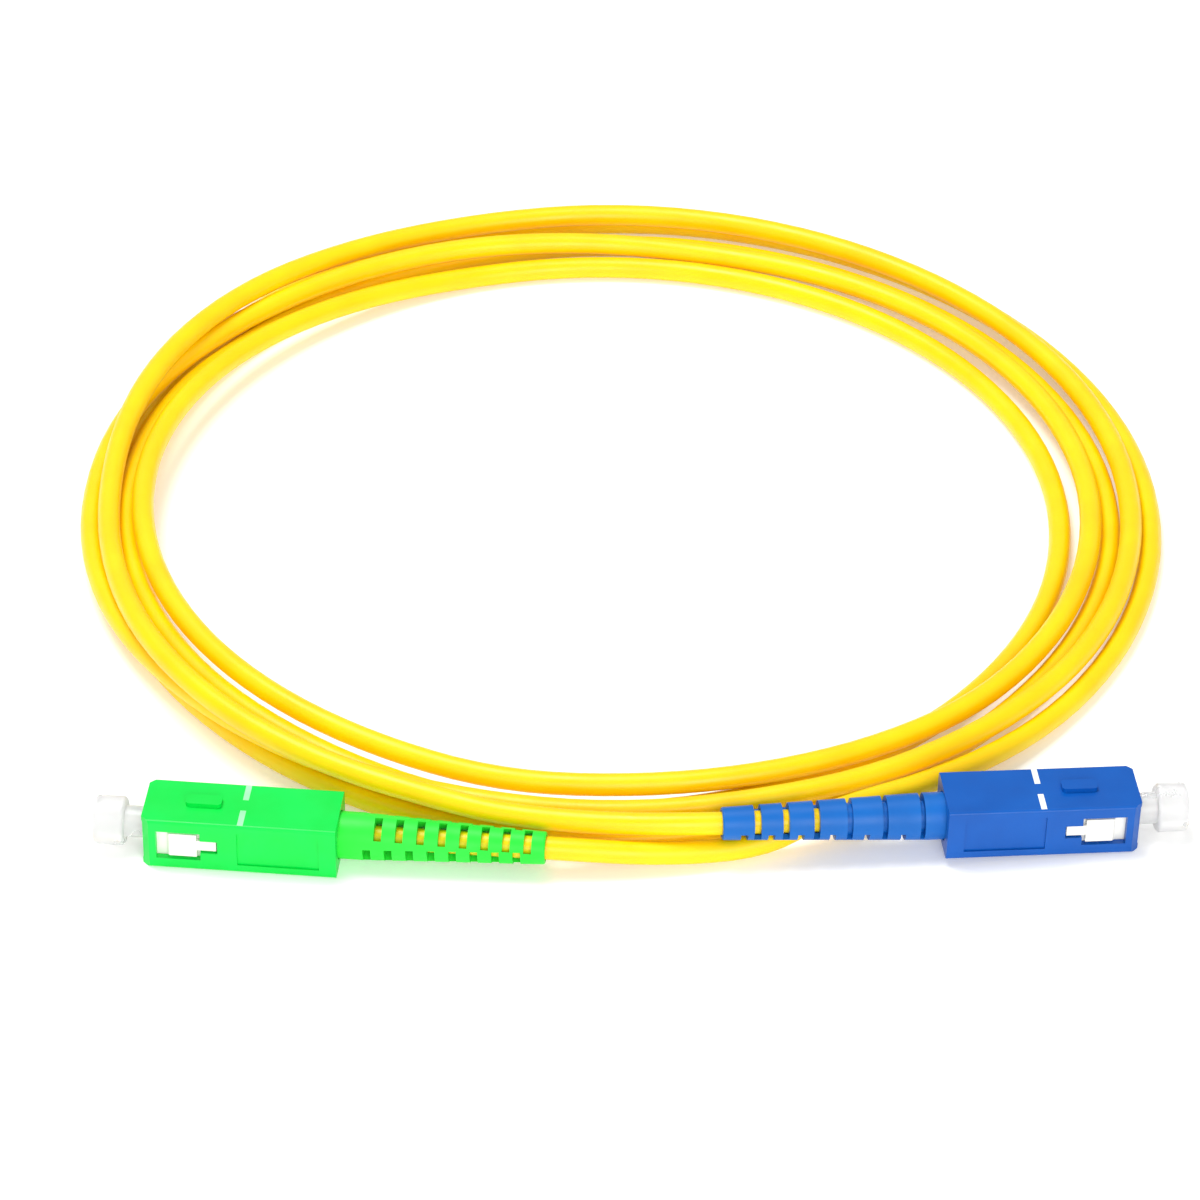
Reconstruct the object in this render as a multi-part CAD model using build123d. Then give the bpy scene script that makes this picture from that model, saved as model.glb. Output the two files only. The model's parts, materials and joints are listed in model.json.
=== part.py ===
"""Simplex single-mode fibre patch cord: a green angled plug, a blue flat plug and a loosely coiled jacket.

Millimetres, +Z up, +X from the green plug towards the blue one. The floor is Z = 0, and the origin lies
on it, in the middle of the two plugs. Each plug is built lying along its own X axis, with X = 0 at
the rear face of its grip housing and the nose towards +X, and is then laid in place by its boot's tip.
"""
from math import asin, atan2, cos, degrees, hypot, pi, radians, sin, tan
import os

from build123d import *

# ---------------------------------------------------------------- driving dimensions
# Grip housing, the coloured shell that fingers push and pull
GRIP_LENGTH = 25.0
GRIP_WIDTH = 9.0
GRIP_HEIGHT = 7.4
GRIP_NOSE_CHAMFER = 1.0
GRIP_EDGE_FILLET = 0.45
KEY_LENGTH = 4.6
KEY_WIDTH = 2.0
KEY_HEIGHT = 0.6
KEY_SETBACK = 5.3          # from the nose face to the key
WINDOW_SETBACK = 1.9       # from the nose face to the side window
WINDOW_LENGTH = 5.7
WINDOW_HEIGHT = 4.2
TONGUE_SLOT_LENGTH = 2.2   # the window's narrow rear end
TONGUE_SLOT_HEIGHT = 1.9
PANEL_LENGTH = 10.5        # finger recess on each side
PANEL_HEIGHT = 5.0
PANEL_DEPTH = 0.25
PANEL_SETBACK = 2.2        # from the rear face to the finger recess
MARK_SETBACK = 12.4        # from the nose face to the index marks
MARK_WIDTH = 0.75
MARK_LENGTH = 3.1
MARK_GAP = 2.2
MARK_DEPTH = 0.12
MARK_PROUD = 0.03

# Plug frame, the white body inside the grip
FRAME_EDGE_CHAMFER = 0.5
FRAME_LENGTH = 17.5
FRAME_WIDTH = 7.0
FRAME_HEIGHT = 5.8
FRAME_NOSE_SETBACK = 0.5   # from the grip's nose face to the frame's
FRAME_MOUTH_RADIUS = 2.15
FRAME_MOUTH_DEPTH = 4.0
FRAME_POCKET_RADIUS = 2.55
LATCH_LENGTH = 3.7
LATCH_RECESS = 0.2         # from the grip's side face down to the latch block
LATCH_ROOT_DEPTH = 0.5     # how far the latch block is rooted in the frame's side
TONGUE_RECESS = 0.15       # from the latch block's face down to its tongue

# Ferrule, its flange and its spring
FERRULE_RADIUS = 1.2495
FERRULE_PROUD = 4.8        # beyond the grip's nose face
FERRULE_LENGTH = 12.2
FERRULE_CHAMFER = 0.25
POLISH_ANGLE = 8.0         # angled polish of the green plug
POLISH_DEPTH = 0.2         # ceramic ground away at the middle of the slant
DOME_RADIUS = 20.0         # rounded polish of the blue plug
FLANGE_LENGTH = 3.2
STEM_RADIUS = 1.4
STEM_LENGTH = 5.2
FLANGE_CHAMFER = 0.15
FUNNEL_LENGTH = 1.5        # lead-in for the fibre at the ferrule's rear
FUNNEL_TIP_RADIUS = 0.1
SPRING_WIRE_RADIUS = 0.2
SPRING_MEAN_RADIUS = 1.95
SPRING_TURNS = 5

# Back post, crimp ring and what passes through them
POST_BARREL_LENGTH = 6.0
POST_SHOULDER_RADIUS = 2.9
POST_SHOULDER_LENGTH = 2.4
POST_STUB_RADIUS = 1.75
POST_STUB_LENGTH = 5.5
POST_COUNTERBORE_DEPTH = 2.8
GROOVE_PITCH = 1.0
GROOVE_WIDTH = 0.3
GROOVE_DEPTH = 0.12
GROOVE_MARGIN = 0.6        # from the stub's rear end to its first groove
TUBE_OUTER_RADIUS = 0.95
TUBE_WALL = 0.3
TUBE_LENGTH = 9.0
YARN_THICKNESS = 0.2
CRIMP_WALL = 0.3
CRIMP_LENGTH = 4.5
CRIMP_EDGE_FILLET = 0.12
CRIMP_OVERHANG = 1.0       # behind the post's stub

# Jacketed cable
JACKET_RADIUS = 1.5
JACKET_WALL = 0.4
BUFFER_RADIUS = 0.45
JACKET_IN_BOOT = 23.0      # length of jacket hidden in each boot
STRAIGHT_OUT = 2.0         # straight stretch beyond the boot's tip
ARC_SHARE = 0.45           # share of the shorter of two runs that the arc joining them takes up

# Boot
BOOT_COLLAR_RADIUS = 3.05
BOOT_COLLAR_DEPTH = 2.3    # how far the collar reaches into the grip
BOOT_LINER = 0.35          # wall left under the slots that do not open to the cable
WINDOW_SLOT_WIDTH = 3.2    # across the boot, where slots are pairs of windows
SLOT_PAST_MIDDLE = 0.55    # how far a one-sided slot cuts beyond the boot's axis
BOOT_TIP_RADIUS = 2.1
BOOT_COLLAR_CHAMFER = 0.3
BOOT_TIP_FILLET = 0.25
COLLAR_TO_SLOT = 0.8       # from the end of the straight collar to the middle of the first slot
SLOT_REACH = 5.0           # how far slot cutters reach from the boot's axis, past its skin

# Dust cap
CAP_HEAD_RADIUS = 3.15
CAP_HEAD_LENGTH = 4.0
CAP_NECK_RADIUS = 2.05
CAP_NECK_SHOWING = 2.6     # between the grip's nose face and the head
CAP_NECK_HIDDEN = 4.0      # inside the plug frame's mouth
CAP_END_SPACE = 0.8        # between the ferrule's tip and the cap's blind end
CAP_EDGE_FILLET = 0.5

# Clearances
OVERLAP = 0.01             # where two blocks of one piece are joined or cut into each other
SLIDE_CLEARANCE = 0.1      # grip on frame, flange in pocket, each side
COLLAR_CLEARANCE = 0.15    # boot collar in the grip's rear bore
CAP_CLEARANCE = 0.02       # cap bore on ferrule, radial
FIT_CLEARANCE = 0.02       # assembled pieces that do not move, radial
CABLE_CLEARANCE = 0.15     # jacket in boot, radial
GRIP_TRAVEL = 1.3
STOP_CLEARANCE = 0.2

# Coil of loose turns
COIL_CENTRE = (-5.1, 70.5)
COIL_HEIGHT = 5.6
COIL_EDGE_FILLET = 1.4
RELIEF_GAP = 0.3           # between the coil and a boot that lies on or beside it
COIL_STEP_DEGREES = 30
# Half-widths of the bundle's inner and outer edges, from +X anticlockwise in equal steps
COIL_INNER_REACH = (61.0, 61.6, 62.0, 61.9, 61.6, 61.2, 61.0, 61.0, 60.9, 60.9, 61.0, 61.0)
COIL_OUTER_REACH = (76.1, 78.0, 78.8, 78.6, 78.0, 75.2, 71.4, 72.2, 73.0, 76.0, 77.0, 77.6)

# ---------------------------------------------------------------- the two ends
# exit: middle of the boot's tip, where the cord comes out; heading: the nose's direction on the floor.
GREEN = {
    "name": "green",
    "exit": (-12.17, -5.26),
    "exit_height": None,       # lies flat, at the grip's own mid-height
    "heading": 174.0,
    "angled": True,
    "boot_length": 26.4,
    "boot_roll": -30.0,
    "one_sided_slots": False,  # pairs of windows, each pair a quarter turn from the last
    "first_open_slot": 0,
    "slots": 16,
    "first_slot": 3.7,
    "slot_pitch": 1.365,
    "slot_closing": 0.0,
    "slot_width": 1.0,
    "slot_widening": 0.0,
}
BLUE = {
    "name": "blue",
    "exit": (10.13, -2.91),
    "exit_height": 5.8,        # the tip rests above the cord's front strands
    "heading": 6.3,
    "angled": False,
    "boot_length": 28.5,
    "boot_roll": 24.0,
    "one_sided_slots": True,   # cut in turn from above and from below
    "first_open_slot": 5,
    "slots": 12,
    "first_slot": 2.9,
    "slot_pitch": 2.45,
    "slot_closing": 0.075,     # each gap is this much shorter than the last
    "slot_width": 0.6,
    "slot_widening": 0.03,     # each slot is this much wider than the last
}

# ---------------------------------------------------------------- derived places along a plug
NOSE = GRIP_LENGTH
FRAME_NOSE = NOSE - FRAME_NOSE_SETBACK
FRAME_REAR = FRAME_NOSE - FRAME_LENGTH
SHOULDER = FRAME_NOSE - FRAME_MOUTH_DEPTH
FLANGE_RADIUS = FRAME_POCKET_RADIUS - SLIDE_CLEARANCE
FLANGE_FRONT = SHOULDER - SLIDE_CLEARANCE
FLANGE_REAR = FLANGE_FRONT - FLANGE_LENGTH
STEM_REAR = FLANGE_REAR - STEM_LENGTH
FERRULE_TIP = NOSE + FERRULE_PROUD
FERRULE_REAR = FERRULE_TIP - FERRULE_LENGTH
POST_FRONT = FRAME_REAR + POST_BARREL_LENGTH
SHOULDER_REAR = FRAME_REAR - POST_SHOULDER_LENGTH
STUB_REAR = SHOULDER_REAR - POST_STUB_LENGTH
COUNTERBORE_END = POST_FRONT - POST_COUNTERBORE_DEPTH
POST_BORE_RADIUS = TUBE_OUTER_RADIUS + FIT_CLEARANCE
TUBE_FRONT = COUNTERBORE_END
CRIMP_INNER_RADIUS = POST_STUB_RADIUS + YARN_THICKNESS
CRIMP_RADIUS = CRIMP_INNER_RADIUS + CRIMP_WALL
CRIMP_REAR = STUB_REAR - CRIMP_OVERHANG
CRIMP_FRONT = CRIMP_REAR + CRIMP_LENGTH
GRIP_CAVITY_WIDTH = FRAME_WIDTH + 2 * SLIDE_CLEARANCE
GRIP_CAVITY_HEIGHT = FRAME_HEIGHT + 2 * SLIDE_CLEARANCE
GRIP_REAR_BORE_RADIUS = BOOT_COLLAR_RADIUS + COLLAR_CLEARANCE
GRIP_REAR_BORE_DEPTH = BOOT_COLLAR_DEPTH + GRIP_TRAVEL + STOP_CLEARANCE
WINDOW_FRONT = NOSE - WINDOW_SETBACK
WINDOW_REAR = WINDOW_FRONT - WINDOW_LENGTH
CABLE_BORE_RADIUS = JACKET_RADIUS + CABLE_CLEARANCE
CAP_HEAD_REAR = NOSE + CAP_NECK_SHOWING


def along_x(start, end):
    """Location whose Z axis runs along the plug from start."""
    return Location((start, 0, 0), (0, 90, 0)), end - start


def rod(start, end, radius):
    """Solid cylinder on the plug's axis."""
    place, length = along_x(start, end)
    return place * Cylinder(radius, length, align=(Align.CENTER, Align.CENTER, Align.MIN))


def cone(start, end, start_radius, end_radius):
    """Solid cone on the plug's axis."""
    place, length = along_x(start, end)
    return place * Cone(start_radius, end_radius, length, align=(Align.CENTER, Align.CENTER, Align.MIN))


def block(start, end, width, height, y=0.0, z=0.0):
    """Box along the plug, centred on y and z."""
    return Pos((start + end) / 2, y, z) * Box(end - start, width, height)


# ---------------------------------------------------------------- grip housing
def grip_shell():
    shell = block(0, NOSE, GRIP_WIDTH, GRIP_HEIGHT)
    nose_corners = shell.edges().filter_by(Axis.Z).group_by(Axis.X)[-1]
    shell = chamfer(nose_corners, GRIP_NOSE_CHAMFER)
    shell = fillet(shell.edges().filter_by(Axis.X), GRIP_EDGE_FILLET)
    key_front = NOSE - KEY_SETBACK
    key_middle = GRIP_HEIGHT / 2
    key = block(key_front - KEY_LENGTH, key_front, KEY_WIDTH, 2 * KEY_HEIGHT, z=key_middle)
    key = fillet(key.edges().filter_by(Axis.Z), KEY_WIDTH / 4)
    shell += key
    shell -= block(GRIP_REAR_BORE_DEPTH, NOSE + 1, GRIP_CAVITY_WIDTH, GRIP_CAVITY_HEIGHT)
    shell -= rod(-1, GRIP_REAR_BORE_DEPTH + OVERLAP, GRIP_REAR_BORE_RADIUS)
    for side in (-1, 1):
        wall_middle = side * (GRIP_WIDTH + GRIP_CAVITY_WIDTH) / 4
        shell -= block(WINDOW_REAR, WINDOW_FRONT, 2, WINDOW_HEIGHT, y=wall_middle)
        tongue_rear = WINDOW_REAR - TONGUE_SLOT_LENGTH
        shell -= block(tongue_rear, WINDOW_REAR + OVERLAP, 2, TONGUE_SLOT_HEIGHT, y=wall_middle)
        panel_end = PANEL_SETBACK + PANEL_LENGTH
        panel_middle = side * GRIP_WIDTH / 2
        shell -= block(PANEL_SETBACK, panel_end, 2 * PANEL_DEPTH, PANEL_HEIGHT, y=panel_middle)
    for pocket in index_mark_blocks(MARK_DEPTH, 1):
        shell -= pocket
    return shell


def index_mark_blocks(depth, proud):
    """The two bars across the key side that show a fully seated plug."""
    front = NOSE - MARK_SETBACK
    middle = GRIP_HEIGHT / 2 + (proud - depth) / 2
    blocks = []
    for side in (-1, 1):
        y = side * (MARK_GAP + MARK_LENGTH) / 2
        blocks.append(block(front - MARK_WIDTH, front, MARK_LENGTH, depth + proud, y=y, z=middle))
    return blocks


def index_marks():
    return Compound(children=index_mark_blocks(MARK_DEPTH, MARK_PROUD))


# ---------------------------------------------------------------- plug frame
def plug_frame():
    frame = block(FRAME_REAR, FRAME_NOSE, FRAME_WIDTH, FRAME_HEIGHT)
    frame = chamfer(frame.edges().filter_by(Axis.X), FRAME_EDGE_CHAMFER)
    latch_front = WINDOW_FRONT - GRIP_TRAVEL - STOP_CLEARANCE
    latch_rear = latch_front - LATCH_LENGTH
    tongue_rear = WINDOW_REAR - TONGUE_SLOT_LENGTH + STOP_CLEARANCE
    latch_reach = GRIP_WIDTH / 2 - LATCH_RECESS
    latch_height = WINDOW_HEIGHT - 4 * STOP_CLEARANCE
    tongue_height = TONGUE_SLOT_HEIGHT - 2 * STOP_CLEARANCE
    latch_root = FRAME_WIDTH / 2 - LATCH_ROOT_DEPTH
    for side in (-1, 1):
        middle = side * (latch_root + latch_reach) / 2
        width = latch_reach - latch_root
        latch = block(latch_rear, latch_front, width, latch_height, y=middle)
        latch = chamfer(latch.edges().filter_by(Axis.Z).group_by(Axis.X)[-1], LATCH_RECESS)
        frame += latch
        tongue_middle = middle - side * TONGUE_RECESS / 2
        tongue_width = width - TONGUE_RECESS
        frame += block(tongue_rear, latch_rear + OVERLAP, tongue_width, tongue_height, y=tongue_middle)
    frame -= rod(FRAME_REAR - 1, SHOULDER, FRAME_POCKET_RADIUS)
    frame -= rod(SHOULDER - OVERLAP, FRAME_NOSE + 1, FRAME_MOUTH_RADIUS)
    return frame


# ---------------------------------------------------------------- ferrule group
def ferrule(angled):
    """Ceramic rod, turned with a bevelled nose, then polished to a slant or a slight dome."""
    nose_radius = FERRULE_RADIUS - FERRULE_CHAMFER
    bevel_start = FERRULE_TIP - 2 * FERRULE_CHAMFER
    dome_height = DOME_RADIUS - (DOME_RADIUS**2 - nose_radius**2) ** 0.5
    middle_drop = DOME_RADIUS - (DOME_RADIUS**2 - nose_radius**2 / 4) ** 0.5
    dome_middle = (FERRULE_TIP - middle_drop, nose_radius / 2)
    outline = Polyline(
        (FERRULE_TIP, 0),
        (FERRULE_REAR, 0),
        (FERRULE_REAR, nose_radius),
        (FERRULE_REAR + FERRULE_CHAMFER, FERRULE_RADIUS),
        (bevel_start, FERRULE_RADIUS),
        (FERRULE_TIP - dome_height, nose_radius),
    )
    outline += ThreePointArc((FERRULE_TIP - dome_height, nose_radius), dome_middle, (FERRULE_TIP, 0))
    body = revolve(make_face(outline), Axis.X)
    if angled:
        cut = 4 * FERRULE_RADIUS
        slant = Rot(0, POLISH_ANGLE, 0) * Pos(cut / 2, 0, 0) * Box(cut, 2 * cut, 2 * cut)
        body -= Pos(FERRULE_TIP - POLISH_DEPTH, 0, 0) * slant
    body -= cone(FERRULE_REAR - OVERLAP, FERRULE_REAR + FUNNEL_LENGTH, BUFFER_RADIUS, FUNNEL_TIP_RADIUS)
    return body


def ferrule_flange():
    flange = rod(FLANGE_REAR, FLANGE_FRONT, FLANGE_RADIUS)
    flange = chamfer(flange.edges().filter_by(GeomType.CIRCLE), FLANGE_CHAMFER)
    flange += rod(STEM_REAR, FLANGE_REAR + OVERLAP, STEM_RADIUS)
    flange -= rod(FERRULE_REAR, FLANGE_FRONT + 1, FERRULE_RADIUS)
    flange -= rod(STEM_REAR - 1, FERRULE_REAR + OVERLAP, BUFFER_RADIUS + FIT_CLEARANCE)
    return flange


def fibre_end():
    """The buffered fibre glued into the flange's stem."""
    return rod(STEM_REAR, FERRULE_REAR, BUFFER_RADIUS)


def ferrule_spring():
    """Round-wire spring between the back post and the flange."""
    start = POST_FRONT + SPRING_WIRE_RADIUS
    length = FLANGE_REAR - POST_FRONT - 2 * SPRING_WIRE_RADIUS
    path = Helix(length / SPRING_TURNS, length, SPRING_MEAN_RADIUS)
    section = Plane(origin=path @ 0, z_dir=path % 0) * Circle(SPRING_WIRE_RADIUS)
    coil = sweep(section, path=path, is_frenet=True)
    return Location((start, 0, 0), (0, 90, 0)) * coil


# ---------------------------------------------------------------- back post and crimp
def back_post():
    barrel_radius = FRAME_POCKET_RADIUS - FIT_CLEARANCE
    post = rod(FRAME_REAR - OVERLAP, POST_FRONT, barrel_radius)
    post += rod(SHOULDER_REAR, FRAME_REAR, POST_SHOULDER_RADIUS)
    post += rod(STUB_REAR, SHOULDER_REAR + OVERLAP, POST_STUB_RADIUS)
    groove_count = int((POST_STUB_LENGTH - 2 * GROOVE_MARGIN) / GROOVE_PITCH)
    for i in range(groove_count):
        start = STUB_REAR + GROOVE_MARGIN + i * GROOVE_PITCH
        finish = start + GROOVE_WIDTH
        ring = rod(start, finish, POST_STUB_RADIUS + 1)
        ring -= rod(start, finish, POST_STUB_RADIUS - GROOVE_DEPTH)
        post -= ring
    post -= rod(STUB_REAR - 1, COUNTERBORE_END + OVERLAP, POST_BORE_RADIUS)
    post -= rod(COUNTERBORE_END, POST_FRONT + 1, STEM_RADIUS + SLIDE_CLEARANCE)
    return post


def guide_tube():
    """Thin sleeve that leads the buffered fibre through the back post."""
    tube = rod(TUBE_FRONT - TUBE_LENGTH, TUBE_FRONT, TUBE_OUTER_RADIUS)
    tube -= rod(TUBE_FRONT - TUBE_LENGTH - 1, TUBE_FRONT + 1, TUBE_OUTER_RADIUS - TUBE_WALL)
    return tube


def yarn_end(boot_length):
    """Aramid yarn folded over the post's stub and running back into the jacket."""
    jacket_end = JACKET_IN_BOOT - boot_length
    skirt = rod(STUB_REAR, CRIMP_FRONT, CRIMP_INNER_RADIUS)
    skirt -= rod(STUB_REAR - 1, CRIMP_FRONT + 1, POST_STUB_RADIUS)
    throat_radius = CABLE_BORE_RADIUS - FIT_CLEARANCE
    gather = cone(jacket_end, CRIMP_REAR, JACKET_RADIUS - JACKET_WALL, throat_radius)
    gather += cone(CRIMP_REAR, STUB_REAR, throat_radius, CRIMP_INNER_RADIUS)
    gather -= cone(jacket_end, STUB_REAR, BUFFER_RADIUS + FIT_CLEARANCE, POST_BORE_RADIUS)
    return skirt + gather


def crimp_ring():
    ring = rod(CRIMP_REAR, CRIMP_FRONT, CRIMP_RADIUS)
    ring = fillet(ring.edges().filter_by(GeomType.CIRCLE), CRIMP_EDGE_FILLET)
    ring -= rod(CRIMP_REAR - 1, CRIMP_FRONT + 1, CRIMP_INNER_RADIUS + FIT_CLEARANCE)
    return ring


def fibre_buffer(boot_length):
    """Tight-buffered fibre from the jacket's end to the front of the back post."""
    return rod(JACKET_IN_BOOT - boot_length, TUBE_FRONT - FIT_CLEARANCE, BUFFER_RADIUS)


# ---------------------------------------------------------------- boot
def slot_cutter(end, turn, x, width):
    """Removes one slot: a cut from one side past the middle, or a pair of windows, turned for that slot."""
    start, finish = x - width / 2, x + width / 2
    if end["one_sided_slots"]:
        cutter = block(start, finish, 2 * SLOT_REACH, SLOT_REACH, z=SLOT_REACH / 2 - SLOT_PAST_MIDDLE)
        return Rot(180 * turn + end["boot_roll"], 0, 0) * cutter
    cutter = block(start, finish, 2 * SLOT_REACH, WINDOW_SLOT_WIDTH)
    return Rot(90 * turn + end["boot_roll"], 0, 0) * cutter


def boot(end):
    """Tapered strain relief, slotted so that it bends; closed slots stop short of the cable."""
    length = end["boot_length"]
    collar_rear = COLLAR_TO_SLOT - end["first_slot"]
    shell = rod(collar_rear, BOOT_COLLAR_DEPTH, BOOT_COLLAR_RADIUS)
    shell = chamfer(shell.edges().group_by(Axis.X)[-1], BOOT_COLLAR_CHAMFER)
    shell += cone(-length, collar_rear + OVERLAP, BOOT_TIP_RADIUS, BOOT_COLLAR_RADIUS)
    shell = fillet(shell.edges().group_by(Axis.X)[0], BOOT_TIP_FILLET)
    x = -end["first_slot"]
    for i in range(end["slots"]):
        width = end["slot_width"] + i * end["slot_widening"]
        cutter = slot_cutter(end, i, x, width)
        if i < end["first_open_slot"]:
            cutter -= rod(x - width, x + width, CABLE_BORE_RADIUS + BOOT_LINER)
        shell -= cutter
        x -= end["slot_pitch"] - i * end["slot_closing"]
    pocket_rear = CRIMP_REAR - FIT_CLEARANCE
    shell -= rod(pocket_rear, BOOT_COLLAR_DEPTH + 1, CRIMP_RADIUS + FIT_CLEARANCE)
    shell -= rod(-length - 1, pocket_rear + OVERLAP, CABLE_BORE_RADIUS)
    return shell


# ---------------------------------------------------------------- dust cap
def dust_cap():
    head_front = CAP_HEAD_REAR + CAP_HEAD_LENGTH
    cap = rod(CAP_HEAD_REAR, head_front, CAP_HEAD_RADIUS)
    cap = fillet(cap.edges().filter_by(GeomType.CIRCLE), CAP_EDGE_FILLET)
    neck_rear = NOSE - CAP_NECK_HIDDEN
    cap += rod(neck_rear, CAP_HEAD_REAR + 0.5, CAP_NECK_RADIUS)
    cap -= rod(neck_rear - 1, FERRULE_TIP + CAP_END_SPACE, FERRULE_RADIUS + CAP_CLEARANCE)
    return cap


# ---------------------------------------------------------------- laying a plug in place
def resting_pose(end):
    """Height of the cord's exit and the nose's downward pitch, with the nose standing on the floor."""
    half_height = GRIP_HEIGHT / 2
    if end["exit_height"] is None:
        return half_height, 0.0
    reach = GRIP_LENGTH + end["boot_length"]
    span = hypot(half_height, reach)
    pitch = asin(end["exit_height"] / span) - atan2(half_height, reach)
    return end["exit_height"], degrees(pitch)


def plug_location(end):
    """Takes the plug's own axes to the floor frame, pinned at the boot's tip."""
    height, pitch = resting_pose(end)
    x, y = end["exit"]
    tip = Location((x, y, height)) * Rot(0, 0, end["heading"]) * Rot(0, pitch, 0)
    return tip * Pos(end["boot_length"], 0, 0)


def build_plug(end):
    """Every piece of one plug, by node name, laid in place."""
    pieces = {
        "grip": grip_shell(),
        "index_marks": index_marks(),
        "plug_frame": plug_frame(),
        "ferrule": ferrule(end["angled"]),
        "ferrule_flange": ferrule_flange(),
        "ferrule_spring": ferrule_spring(),
        "fibre_end": fibre_end(),
        "back_post": back_post(),
        "guide_tube": guide_tube(),
        "yarn_end": yarn_end(end["boot_length"]),
        "crimp_ring": crimp_ring(),
        "fibre_buffer": fibre_buffer(end["boot_length"]),
        "boot": boot(end),
        "dust_cap": dust_cap(),
    }
    place = plug_location(end)
    return {f"{end['name']}_{name}": place * piece for name, piece in pieces.items()}


# ---------------------------------------------------------------- cord
def tail_route(end, loose_points):
    """Route of a tail: straight along the boot, a little way out of it, then the points given."""
    place = plug_location(end)
    inner = place * Pos(JACKET_IN_BOOT - end["boot_length"], 0, 0)
    outer = place * Pos(-end["boot_length"] - STRAIGHT_OUT, 0, 0)
    return [inner.position, outer.position] + [Vector(*p) for p in loose_points]


def tail_tube(name, points):
    """Plain tube on straight runs joined by tangent arcs as large as the runs allow."""
    runs = [(b - a).length for a, b in zip(points, points[1:])]
    radii = []
    for i in range(1, len(points) - 1):
        turn = (points[i] - points[i - 1]).get_angle(points[i + 1] - points[i])
        radii.append(ARC_SHARE * min(runs[i - 1], runs[i]) / tan(radians(turn / 2)))
    path = FilletPolyline(*points, radius=radii)
    section = Plane(origin=points[0], z_dir=points[1] - points[0]) * Circle(JACKET_RADIUS)
    tube = sweep(section, path=path)
    expected = pi * JACKET_RADIUS**2 * path.length
    print(f"{name}: runs {[round(r, 1) for r in runs]}, radii {[round(r, 1) for r in radii]}, "
          f"length {path.length:.1f}, volume ratio {tube.volume / expected:.4f}")
    return tube


def coil_edge(reaches):
    """Closed smooth outline of one edge of the bundle."""
    points = []
    for i, reach in enumerate(reaches):
        angle = radians(i * COIL_STEP_DEGREES)
        points.append((COIL_CENTRE[0] + reach * cos(angle), COIL_CENTRE[1] + reach * sin(angle)))
    return make_face(Spline(*points, periodic=True))


def cord_coil():
    """Outer shape of the loose turns, relieved where the boots lie over and beside them."""
    ring = extrude(coil_edge(COIL_OUTER_REACH) - coil_edge(COIL_INNER_REACH), COIL_HEIGHT)
    ring = fillet(ring.edges(), COIL_EDGE_FILLET)
    tip_width = 2 * (BOOT_TIP_RADIUS + RELIEF_GAP)
    for end, depth in ((GREEN, COIL_HEIGHT), (BLUE, 0)):
        start = -end["boot_length"] - RELIEF_GAP
        relief = cone(start, 0, BOOT_TIP_RADIUS + RELIEF_GAP, BOOT_COLLAR_RADIUS + RELIEF_GAP)
        relief += block(start, 0, tip_width, COIL_HEIGHT + depth, z=(COIL_HEIGHT - depth) / 2)
        ring -= plug_location(end) * relief
    return ring


# Points of each tail beyond the boot, chosen by hand
GREEN_TAIL_POINTS = [(2.7, -4.9, 2.3), (15.7, -2.4, 1.6)]
BLUE_TAIL_POINTS = [(-4.5, -2.5, 4.8), (-16.2, -0.2, 4.1)]


# ---------------------------------------------------------------- build and write
nodes = {}
nodes.update(build_plug(GREEN))
nodes.update(build_plug(BLUE))
boxes = [piece.bounding_box() for piece in nodes.values()]
for axis in ("X", "Y", "Z"):
    low = min(getattr(box.min, axis) for box in boxes)
    high = max(getattr(box.max, axis) for box in boxes)
    print(f"plugs along {axis}: {low:.3f} to {high:.3f}, middle {(low + high) / 2:.3f}")
nodes["cord_coil"] = cord_coil()
nodes["green_cord_tail"] = tail_tube("green tail", tail_route(GREEN, GREEN_TAIL_POINTS))
nodes["blue_cord_tail"] = tail_tube("blue tail", tail_route(BLUE, BLUE_TAIL_POINTS))

os.makedirs("parts", exist_ok=True)
for node, shape in nodes.items():
    export_step(shape, f"parts/{node}.step")
    print(f"{node}: {shape.volume:.2f} mm3")
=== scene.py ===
"""Looks for the fibre patch cord: loose coil, two square plugs with boots and dust caps."""
import json
from math import cos, pi, radians, sin, sqrt

import bpy
from mathutils import Matrix, Vector


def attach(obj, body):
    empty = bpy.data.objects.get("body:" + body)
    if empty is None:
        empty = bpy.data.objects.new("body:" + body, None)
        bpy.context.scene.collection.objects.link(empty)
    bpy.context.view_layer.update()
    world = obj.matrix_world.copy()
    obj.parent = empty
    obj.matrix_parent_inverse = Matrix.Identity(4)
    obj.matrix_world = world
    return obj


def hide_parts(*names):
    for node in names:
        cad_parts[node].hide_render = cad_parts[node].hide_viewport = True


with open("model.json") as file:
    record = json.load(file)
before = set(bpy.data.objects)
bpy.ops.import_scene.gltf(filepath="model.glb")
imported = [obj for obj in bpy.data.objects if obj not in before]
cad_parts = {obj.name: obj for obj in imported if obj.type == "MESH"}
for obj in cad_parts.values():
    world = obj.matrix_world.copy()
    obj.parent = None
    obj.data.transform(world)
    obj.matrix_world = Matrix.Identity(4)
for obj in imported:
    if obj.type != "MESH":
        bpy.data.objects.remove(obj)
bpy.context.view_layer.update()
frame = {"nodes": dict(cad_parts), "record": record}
MM = 0.001

# ---------------------------------------------------------------- cord: sizes and route, in millimetres
CORD_DIAMETER = 3.0
CORD_RADIUS = CORD_DIAMETER / 2
COIL_CENTRE = (-5.1, 70.5)
INNER_REACH = 62.8          # from the coil's middle to the centreline of its innermost turn
POINTS_PER_TURN = 24
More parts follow.
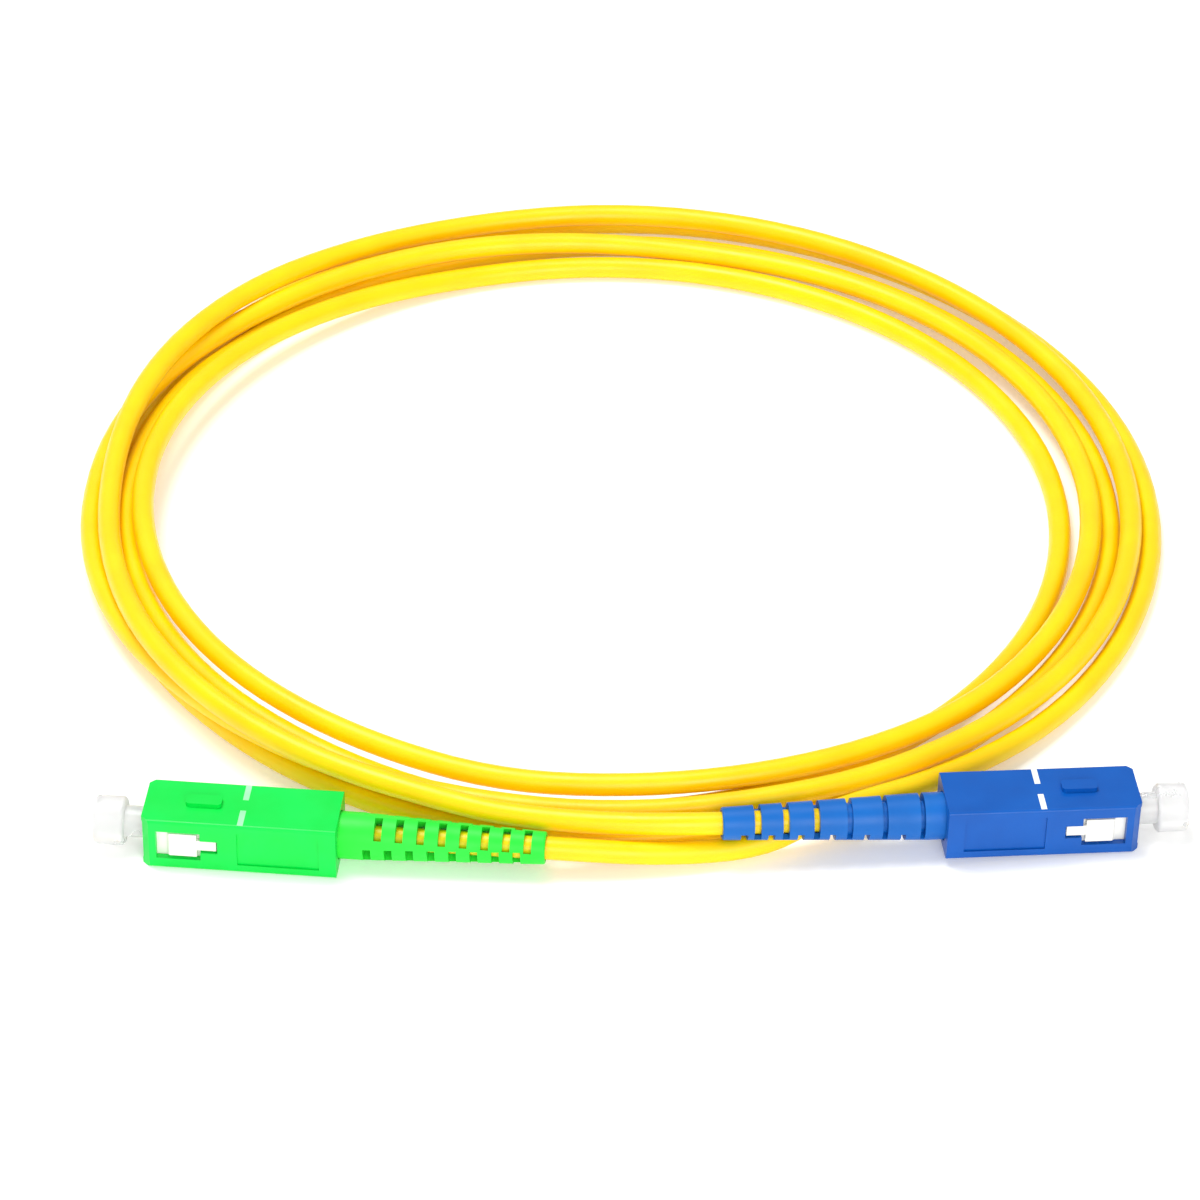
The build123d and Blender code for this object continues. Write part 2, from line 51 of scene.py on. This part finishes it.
# How far each turn lies outside the innermost one: every eighth of a turn, front, right, back, left
TURN_OFFSETS = (
    12.3, 12.5, 12.8, 12.7, 12.6, 8.8, 4.9, 6.1,
    9.2, 7.0, 7.2, 6.8, 6.4, 4.2, 2.4, 3.5,
    3.6, 1.4, 0.3, 0.4, 0.6, 0.4, 0.2, 0.7,
    0.9, 4.1, 4.5, 4.0, 3.4, 5.4, 7.4, 6.9,
    6.2, 9.8, 10.0, 10.3, 10.6, 7.6, 4.6, 8.2,
    8.6, 8.6, 8.6,
)
OFFSETS_PER_TURN = 8
# Where each plug's boot lets the cord out, which way the cord points there, and the points beyond it
GREEN_EXIT = Vector((-12.17, -5.26, 3.7))
GREEN_WAY = Vector((cos(radians(-6.0)), sin(radians(-6.0)), 0.0))
BLUE_EXIT = Vector((10.13, -2.91, 5.8))
BLUE_WAY = Vector((0.99319, 0.10965, -0.03931))
JACKET_IN_BOOT = 23.0
STRAIGHT_OUT = 2.0
GREEN_TAIL_POINTS = ((2.7, -4.9, 2.3), (15.7, -2.4, 1.6))
BLUE_TAIL_POINTS = ((-4.5, -2.5, 4.8), (-16.2, -0.2, 4.1))
FIRST_TURN_DEGREES = 292.0   # where the first turn takes over from the green tail
TURNS = 5
LAYING_STEP = 1.0           # between the points that later strands rest on
SETTLED_POINTS = POINTS_PER_TURN // 3   # newer points than these may still be raised
STEEPEST_CLIMB = 0.075       # rise over run where one strand crosses another
LAST_TURN_DEGREES = 255.0    # where the last turn hands over to the blue tail


def turn_offset(turns):
    """Offset of the line after that many turns from the front, on a smooth curve through the list."""
    place = turns * OFFSETS_PER_TURN
    i = int(place)
    t = place - i
    before, here, after, beyond = (TURN_OFFSETS[k] for k in (max(i - 1, 0), i, i + 1, i + 2))
    slope_here = (after - before) / 2
    slope_after = (beyond - here) / 2
    rise = (3 * t**2 - 2 * t**3) * (after - here)
    return here + rise + (t - 2 * t**2 + t**3) * slope_here + (t**3 - t**2) * slope_after


def turn_point(turns):
    """Where the line passes over the floor after that many turns."""
    angle = radians(270.0 + 360.0 * turns)
    reach = INNER_REACH + turn_offset(turns)
    return COIL_CENTRE[0] + reach * cos(angle), COIL_CENTRE[1] + reach * sin(angle)


def stacked_height(x, y, laid):
    """Height at which the cord lies on the floor or on what was laid before."""
    height = CORD_RADIUS
    for p in laid:
        apart = (p.x - x) ** 2 + (p.y - y) ** 2
        if apart < CORD_DIAMETER ** 2:
            height = max(height, p.z + sqrt(CORD_DIAMETER ** 2 - apart))
    return height


def between(points, step):
    """Points spread along straight runs, about a step apart."""
    spread = []
    for a, b in zip(points, points[1:]):
        count = max(1, int((b - a).length / step))
        spread += [a.lerp(b, i / count) for i in range(count)]
    return spread + [points[-1]]


def climb_gently(points):
    """Raises points, going back from the last, so that the cord climbs to it gradually."""
    for after, here in zip(points[::-1], points[-2::-1]):
        here.z = max(here.z, after.z - STEEPEST_CLIMB * (after - here).length)


def cord_route():
    """Control points of the cord, from its end in the green boot, round the coil, to the blue boot."""
    route = [
        GREEN_EXIT - JACKET_IN_BOOT * GREEN_WAY,
        GREEN_EXIT - JACKET_IN_BOOT / 2 * GREEN_WAY,
        GREEN_EXIT + STRAIGHT_OUT * GREEN_WAY,
    ]
    route += [Vector(place) for place in GREEN_TAIL_POINTS]
    start = (FIRST_TURN_DEGREES - 270.0) / 360.0
    end = TURNS + (LAST_TURN_DEGREES - 270.0) / 360.0
    count = round((end - start) * POINTS_PER_TURN)
    laid = between(route, LAYING_STEP)
    trail = []
    for i in range(count + 1):
        turns = start + (end - start) * i / count
        x, y = turn_point(turns)
        around = [turn_point(start + (end - start) * (i + k / 4) / count) for k in range(-2, 3)]
        point = Vector((x, y, max(stacked_height(*spot, laid) for spot in around)))
        if trail:
            gap = (point - trail[-1]).length
            point.z = max(point.z, trail[-1].z - STEEPEST_CLIMB * gap)
        trail.append(point)
        climb_gently(trail[-SETTLED_POINTS:])
        if len(trail) > SETTLED_POINTS:
            laid += between(trail[-SETTLED_POINTS - 1:][:2], LAYING_STEP)[:-1]
    route += trail
    near, far = (Vector(place) for place in BLUE_TAIL_POINTS)
    boot_tip = BLUE_EXIT - STRAIGHT_OUT * BLUE_WAY
    lowest = trail[-1].z - STEEPEST_CLIMB * (far - trail[-1]).length
    far.z = max(far.z, stacked_height(far.x, far.y, laid), lowest)
    near.z = max(near.z, stacked_height(near.x, near.y, laid), (far.z + boot_tip.z) / 2)
    climb_gently(trail[-SETTLED_POINTS:] + [far])
    climb_gently([far, near])
    route += [
        far,
        near,
        boot_tip,
        BLUE_EXIT + JACKET_IN_BOOT / 2 * BLUE_WAY,
        BLUE_EXIT + JACKET_IN_BOOT * BLUE_WAY,
    ]
    return route


def nurbs_cord(name, points, radius):
    """One open NURBS spline with round section, through control points in millimetres."""
    data = bpy.data.curves.new(name, "CURVE")
    data.dimensions = "3D"
    spline = data.splines.new("NURBS")
    spline.points.add(len(points) - 1)
    for control, p in zip(spline.points, points):
        control.co = (p.x * MM, p.y * MM, p.z * MM, 1.0)
    spline.order_u = 3
    spline.use_endpoint_u = True
    spline.resolution_u = 5
    data.bevel_depth = radius * MM
    data.bevel_resolution = 5
    data.use_fill_caps = True
    cord = bpy.data.objects.new(name, data)
    bpy.context.scene.collection.objects.link(cord)
    return cord


# ---------------------------------------------------------------- materials
def srgb(code):
    """Linear colour from a hex code."""
    parts = [int(code[i:i + 2], 16) / 255 for i in (1, 3, 5)]
    return tuple(c / 12.92 if c <= 0.04045 else ((c + 0.055) / 1.055) ** 2.4 for c in parts) + (1.0,)


def add(tree, kind, settings=None, links=None):
    """Adds a node with its settings (attributes or inputs) and its incoming links."""
    made = tree.nodes.new(kind)
    for key, value in (settings or {}).items():
        if isinstance(key, str) and hasattr(made, key):
            setattr(made, key, value)
        else:
            made.inputs[key].default_value = value
    for key, source in (links or {}).items():
        tree.links.new(source, made.inputs[key])
    return made


def new_material(name, shader):
    """Material with one Principled shader and the settings given."""
    material = bpy.data.materials.new(name)
    material.use_nodes = True
    tree = material.node_tree
    tree.nodes.clear()
    surface = add(tree, "ShaderNodeBsdfPrincipled", shader)
    add(tree, "ShaderNodeOutputMaterial", links={"Surface": surface.outputs[0]})
    return material, tree, surface


def mottled(tree, coordinates, scale_mm, low, high, detail=3.0):
    """Colour between two hex codes, varying over a real distance."""
    noise = add(tree, "ShaderNodeTexNoise", {"Scale": 1 / (scale_mm * MM), "Detail": detail},
                {"Vector": coordinates})
    ramp = add(tree, "ShaderNodeValToRGB", links={"Fac": noise.outputs[0]})
    ramp.color_ramp.elements[0].position = 0.3
    ramp.color_ramp.elements[0].color = srgb(low)
    ramp.color_ramp.elements[1].position = 0.7
    ramp.color_ramp.elements[1].color = srgb(high)
    return ramp.outputs[0]


FLOW_MM = 6.0      # length over which moulded plastic drifts in colour
SMUDGE_MM = 4.0    # size of the duller and glossier patches that handling leaves


def moulded(name, low, high, roughness, grain_mm, grain_height_mm, extra=None):
    """Moulded plastic: slight colour drift from flow in the mould, fine spark-eroded grain, soft gloss."""
    shader = {"IOR": 1.5, "Roughness": roughness, "Specular IOR Level": 0.3}
    shader.update(extra or {})
    material, tree, surface = new_material(name, shader)
    place = add(tree, "ShaderNodeTexCoord").outputs["Object"]
    tree.links.new(mottled(tree, place, FLOW_MM, low, high), surface.inputs["Base Color"])
    grain = add(tree, "ShaderNodeTexNoise",
                {"Scale": 1 / (grain_mm * MM), "Detail": 2.0}, {"Vector": place})
    smudge = add(tree, "ShaderNodeTexNoise",
                 {"Scale": 1 / (SMUDGE_MM * MM), "Detail": 4.0}, {"Vector": place})
    spread = add(tree, "ShaderNodeMapRange",
                 {"From Min": 0.3, "From Max": 0.7, "To Min": roughness - 0.06, "To Max": roughness + 0.08},
                 {"Value": smudge.outputs[0]})
    tree.links.new(spread.outputs[0], surface.inputs["Roughness"])
    bump = add(tree, "ShaderNodeBump", {"Strength": 0.5, "Distance": grain_height_mm * MM},
               {"Height": grain.outputs[0]})
    tree.links.new(bump.outputs[0], surface.inputs["Normal"])
    return material


def jacket_pvc():
    """Extruded PVC jacket: saturated yellow, satin skin with faint draw ripples and orange-peel."""
    material, tree, surface = new_material("jacket_extruded_pvc", {
        "Roughness": 0.36, "IOR": 1.5, "Specular IOR Level": 0.35,
        "Subsurface Weight": 0.2, "Subsurface Scale": 0.7 * MM,
        "Subsurface Radius": (1.0, 0.45, 0.05),
    })
    place = add(tree, "ShaderNodeTexCoord").outputs["Object"]
    tree.links.new(mottled(tree, place, 9.0, "#ffcf00", "#ffda00"), surface.inputs["Base Color"])
    skin = add(tree, "ShaderNodeTexNoise", {"Scale": 1 / (0.5 * MM), "Detail": 3.0}, {"Vector": place})
    ripple = add(tree, "ShaderNodeTexNoise", {"Scale": 1 / (5.0 * MM), "Detail": 1.0}, {"Vector": place})
    both = add(tree, "ShaderNodeMath", {"operation": "ADD"}, {0: skin.outputs[0], 1: ripple.outputs[0]})
    bump = add(tree, "ShaderNodeBump", {"Strength": 0.35, "Distance": 0.05 * MM},
               {"Height": both.outputs[0]})
    tree.links.new(bump.outputs[0], surface.inputs["Normal"])
    gloss = add(tree, "ShaderNodeMapRange",
                {"From Min": 0.3, "From Max": 0.7, "To Min": 0.3, "To Max": 0.44},
                {"Value": ripple.outputs[0]})
    tree.links.new(gloss.outputs[0], surface.inputs["Roughness"])
    return material


def cap_polyethylene():
    """Low-density polyethylene dust cap: milky, waxy, and thin enough for light to pass through."""
    return moulded("cap_low_density_polyethylene", "#fdfdfd", "#ffffff", 0.3, 0.3, 0.015, {
        "Transmission Weight": 0.5, "Subsurface Weight": 0.5, "Subsurface Scale": 1.2 * MM,
        "Subsurface Radius": (1.0, 1.0, 1.0),
    })


def plated(name, low, high, roughness, ring_mm):
    """Turned and plated metal: faint tool rings across the length, slight colour drift of the plating."""
    material, tree, surface = new_material(name, {"Metallic": 1.0, "Roughness": roughness})
    place = add(tree, "ShaderNodeTexCoord").outputs["Object"]
    tree.links.new(mottled(tree, place, 3.0, low, high), surface.inputs["Base Color"])
    rings = add(tree, "ShaderNodeTexWave",
                {"Scale": 1 / (20 * ring_mm * MM), "Distortion": 2.0, "Detail": 2.0}, {"Vector": place})
    bump = add(tree, "ShaderNodeBump", {"Strength": 0.3, "Distance": 0.01 * MM},
               {"Height": rings.outputs[0]})
    tree.links.new(bump.outputs[0], surface.inputs["Normal"])
    return material


def zirconia():
    """Ground and polished zirconia: ivory white, slightly translucent ceramic with a glassy skin."""
    return moulded("ferrule_polished_zirconia", "#f0ece0", "#f8f5ec", 0.14, 0.1, 0.002, {
        "IOR": 2.15, "Subsurface Weight": 0.25, "Subsurface Scale": 0.5 * MM,
    })


def aramid():
    """Aramid filaments: straw-gold, with a silky sheen along the bundle."""
    material, tree, surface = new_material("yarn_aramid_filament", {
        "Roughness": 0.5, "Sheen Weight": 0.4, "Sheen Roughness": 0.4,
    })
    place = add(tree, "ShaderNodeTexCoord").outputs["Object"]
    tree.links.new(mottled(tree, place, 0.4, "#c99a2e", "#ecd07a"), surface.inputs["Base Color"])
    return material


MATERIALS = {
    "jacket_yellow": jacket_pvc(),
    "green_shell": moulded("green_shell_moulded_pbt", "#00d844", "#00e050", 0.34, 0.18, 0.012),
    "blue_shell": moulded("blue_shell_moulded_pbt", "#0052aa", "#0059b4", 0.34, 0.18, 0.012),
    "green_boot": moulded("green_boot_elastomer", "#1ede34", "#30e842", 0.44, 0.12, 0.014),
    "blue_boot": moulded("blue_boot_elastomer", "#0060b4", "#0068bf", 0.44, 0.12, 0.014),
    "mark_white": moulded("index_mark_pad_print_ink", "#e9f2ea", "#f7fbf6", 0.6, 0.08, 0.02),
    "frame_white": moulded("plug_frame_moulded_pbt", "#eeece2", "#f8f6ee", 0.36, 0.2, 0.012),
    "cap_clear": cap_polyethylene(),
    "clear_tube": moulded("guide_tube_fluoropolymer", "#e8e8e2", "#f4f4ef", 0.3, 0.2, 0.01,
                          {"Transmission Weight": 0.4}),
    "zirconia": zirconia(),
    "nickel_plate": plated("turned_nickel_plate", "#b9b5ab", "#cfcbc1", 0.26, 0.12),
    "crimp_metal": plated("crimp_plated_copper", "#b8b8b6", "#cccccb", 0.34, 0.2),
    "spring_steel": plated("drawn_spring_wire", "#8f8f92", "#b0b0b3", 0.3, 0.05),
    "aramid_yarn": aramid(),
    "buffer_white": moulded("fibre_tight_buffer", "#eae9e2", "#f6f5ef", 0.42, 0.15, 0.01),
}

for part in frame["record"]["subparts"]:
    for slot in frame["nodes"][part["node"]].material_slots:
        slot.material = MATERIALS[part["material_slot"]]

for slot in frame["nodes"]["green_index_marks"].material_slots:
    slot.material = moulded("index_mark_thin_ink_on_green", "#8ee6a4", "#b2f0c0", 0.5, 0.08, 0.02)

# ---------------------------------------------------------------- cord
cord = nurbs_cord("cord_jacket", cord_route(), CORD_RADIUS)
cord.data.materials.append(MATERIALS["jacket_yellow"])
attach(cord, "root_cord")
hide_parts("cord_coil", "green_cord_tail", "blue_cord_tail")

# ---------------------------------------------------------------- aramid yarn at each crimp
YARN_STRANDS = 120
YARN_STRAND_RADIUS = 0.045
YARN_SEED = 11
YARN_POINTS = 16            # along each strand
# Distance along the plug and from its axis: at the jacket's end, the crimp, the post and the crimp's front
GREEN_YARN_GUIDE = ((-3.4, 0.95), (-1.9, 1.5), (-0.9, 1.85), (2.6, 1.85))
BLUE_YARN_GUIDE = ((-5.5, 0.95), (-1.9, 1.5), (-0.9, 1.85), (2.6, 1.85))


def yarn_tree():
    """Node group that copies a guide line round the X axis as a loose sheath of wavy strands."""
    tree = bpy.data.node_groups.new("aramid_yarn", "GeometryNodeTree")
    face = tree.interface
    face.new_socket("Geometry", in_out="OUTPUT", socket_type="NodeSocketGeometry")
    face.new_socket("Guide", in_out="INPUT", socket_type="NodeSocketGeometry")
    face.new_socket("Strands", in_out="INPUT", socket_type="NodeSocketInt")
    face.new_socket("Strand Radius", in_out="INPUT", socket_type="NodeSocketFloat")
    face.new_socket("Seed", in_out="INPUT", socket_type="NodeSocketInt")
    face.new_socket("Material", in_out="INPUT", socket_type="NodeSocketMaterial")
    given = add(tree, "NodeGroupInput").outputs
    line = add(tree, "GeometryNodeMeshToCurve", links={"Mesh": given["Guide"]})
    fine = add(tree, "GeometryNodeResampleCurve", {"Count": YARN_POINTS}, {"Curve": line.outputs[0]})
    copies = add(tree, "GeometryNodeDuplicateElements", {"domain": "SPLINE"},
                 {"Geometry": fine.outputs[0], "Amount": given["Strands"]})
    index = copies.outputs["Duplicate Index"]
    depth = add(tree, "FunctionNodeRandomValue", {2: 0.965, 3: 1.02}, {"ID": index, "Seed": given["Seed"]})
    squeeze = add(tree, "ShaderNodeCombineXYZ", {"X": 1.0}, {"Y": depth.outputs[1], "Z": depth.outputs[1]})
    place = add(tree, "GeometryNodeInputPosition")
    drawn = add(tree, "ShaderNodeVectorMath", {"operation": "MULTIPLY"},
                {0: place.outputs[0], 1: squeeze.outputs[0]})
    share = add(tree, "ShaderNodeMath", {"operation": "DIVIDE"}, {0: index, 1: given["Strands"]})
    along = add(tree, "ShaderNodeSeparateXYZ", links={0: place.outputs[0]})
    spot = add(tree, "ShaderNodeCombineXYZ", links={"X": along.outputs["X"], "Y": index})
    wave = add(tree, "ShaderNodeTexNoise", {"Scale": 0.9, "Detail": 0.0}, {"Vector": spot.outputs[0]})
    turn = add(tree, "ShaderNodeMath", {"operation": "MULTIPLY_ADD", 1: 2 * pi},
               {0: share.outputs[0], 2: wave.outputs[0]})
    swung = add(tree, "ShaderNodeVectorRotate", {"rotation_type": "X_AXIS"},
                {"Vector": drawn.outputs[0], "Angle": turn.outputs[0]})
    sheath = add(tree, "GeometryNodeSetPosition",
                 links={"Geometry": copies.outputs[0], "Position": swung.outputs[0]})
    section = add(tree, "GeometryNodeCurvePrimitiveCircle", {"Resolution": 5},
                  {"Radius": given["Strand Radius"]})
    strands = add(tree, "GeometryNodeCurveToMesh", {"Fill Caps": True},
                  {"Curve": sheath.outputs[0], "Profile Curve": section.outputs[0]})
    real = add(tree, "GeometryNodeRealizeInstances", links={"Geometry": strands.outputs[0]})
    dressed = add(tree, "GeometryNodeSetMaterial",
                  links={"Geometry": real.outputs[0], "Material": given["Material"]})
    add(tree, "NodeGroupOutput", links={"Geometry": dressed.outputs[0]})
    return tree


def yarn(name, tree, guide, plug_place):
    """Plain mesh of the strands, made in millimetres on the plug's axis and then laid in place."""
    mesh = bpy.data.meshes.new(name + "_guide")
    mesh.from_pydata([(x, 0.0, r) for x, r in guide], [(i, i + 1) for i in range(len(guide) - 1)], [])
    guide_object = bpy.data.objects.new(name + "_guide", mesh)
    bpy.context.scene.collection.objects.link(guide_object)
    modifier = guide_object.modifiers.new("yarn", "NODES")
    modifier.node_group = tree
    values = {"Strands": YARN_STRANDS, "Strand Radius": YARN_STRAND_RADIUS, "Seed": YARN_SEED,
              "Material": MATERIALS["aramid_yarn"]}
    for item in tree.interface.items_tree:
        if item.in_out == "INPUT" and item.name in values:
            modifier[item.identifier] = values[item.name]
    bpy.context.view_layer.update()
    made = guide_object.evaluated_get(bpy.context.evaluated_depsgraph_get())
    strands = bpy.data.meshes.new_from_object(made)
    strands.name = name
    strands.transform(Matrix.Scale(MM, 4) @ plug_place)
    bpy.data.objects.remove(guide_object)
    bundle = bpy.data.objects.new(name, strands)
    bpy.context.scene.collection.objects.link(bundle)
    return bundle


def plug_place(boot_exit, heading, pitch, boot_length):
    """From the plug's own axes to the floor frame, in millimetres."""
    turned = Matrix.Rotation(radians(heading), 4, "Z") @ Matrix.Rotation(radians(pitch), 4, "Y")
    return Matrix.Translation(boot_exit) @ turned @ Matrix.Translation((boot_length, 0.0, 0.0))


# Heading on the floor, downward pitch, and boot length of each plug
GREEN_PLUG = (174.0, 0.0, 26.4)
BLUE_PLUG = (6.3, 2.253, 28.5)

YARN_TREE = yarn_tree()
for end, guide, place in (
    ("green", GREEN_YARN_GUIDE, plug_place(GREEN_EXIT, *GREEN_PLUG)),
    ("blue", BLUE_YARN_GUIDE, plug_place(BLUE_EXIT, *BLUE_PLUG)),
):
    strands = yarn(end + "_yarn_strands", YARN_TREE, guide, place)
    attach(strands, "root_cord")
    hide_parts(end + "_yarn_end")

# ---------------------------------------------------------------- stage
def stage():
    """White floor that glows a little, as on a light table, two softboxes, and the camera."""
    bpy.ops.mesh.primitive_plane_add(size=4.0, location=(0, 0.5, 0))
    floor = bpy.context.object
    floor.name = "floor"
    white, tree, surface = new_material("stage_white_paper", {"Roughness": 0.9})
    surface.inputs["Base Color"].default_value = srgb("#f6f6f5")
    surface.inputs["Emission Color"].default_value = srgb("#ffffff")
    surface.inputs["Emission Strength"].default_value = 0.2
    floor.data.materials.append(white)
    scene = bpy.context.scene
    world = bpy.data.worlds.new("studio")
    world.use_nodes = True
    world.node_tree.nodes["Background"].inputs[0].default_value = srgb("#ffffff")
    world.node_tree.nodes["Background"].inputs[1].default_value = 0.5
    scene.world = world
    scene.view_settings.view_transform = "Standard"
    middle = Vector((0.0, 0.06, 0.0))
    # Key softbox above and a little behind the coil, fill softbox low in front of the plugs
    for name, place, size, power in (
        ("key", (-0.25, 0.25, 1.0), 0.5, 8.0),
        ("fill", (0.15, -0.9, 0.45), 0.6, 6.0),
    ):
        light = bpy.data.lights.new(name, "AREA")
        light.energy = power
        light.size = size
        lamp = bpy.data.objects.new(name, light)
        lamp.location = place
        lamp.rotation_euler = (middle - Vector(place)).to_track_quat("-Z", "Y").to_euler()
        scene.collection.objects.link(lamp)
    elevation = radians(36.0)
    target = Vector((-0.00532, 0.05349, 0.0))
    distance = 0.87
    backwards = Vector((0, -cos(elevation), sin(elevation)))
    lens = bpy.data.cameras.new("camera")
    lens.lens = 193.5
    lens.sensor_width = 36.0
    lens.clip_start = 0.05
    camera = bpy.data.objects.new("camera", lens)
    camera.location = target + distance * backwards
    camera.rotation_euler = (pi / 2 - elevation, 0, 0)
    scene.collection.objects.link(camera)
    scene.camera = camera


stage()
bpy.context.view_layer.update()
